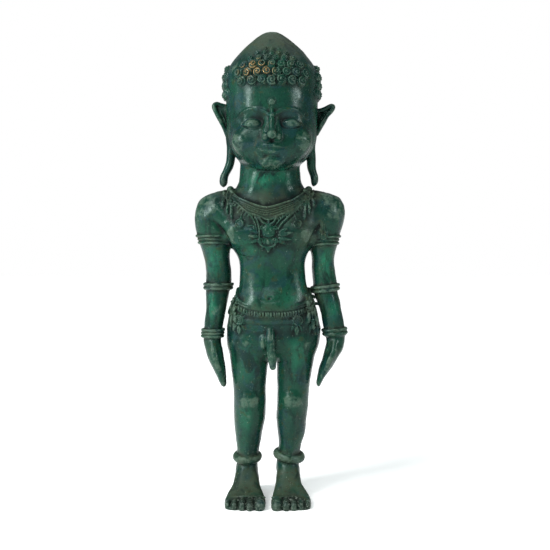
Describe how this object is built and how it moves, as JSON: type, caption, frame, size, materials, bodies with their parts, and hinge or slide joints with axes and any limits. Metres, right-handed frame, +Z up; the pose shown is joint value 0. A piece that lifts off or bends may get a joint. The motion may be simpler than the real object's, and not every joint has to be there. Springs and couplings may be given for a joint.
{
  "type": "ancestor figure",
  "caption": "Standing bronze ancestor figure with a large curled head, long ear lobes, collar, armlets, belt and ring anklets.",
  "frame": {"origin": "on the ground under the middle of the figure, halfway between its sides and between its front and back", "axes": "+Z up, the figure faces -Y, +X towards its left hand"},
  "size_m": [0.1522, 0.1129, 0.465],
  "materials": {
    "bronze": "dark green patinated bronze, satin, with worn gold-brown high spots on the curls"
  },
  "bodies": {
    "root": {"figure": "bronze"}
  },
  "joints": []
}
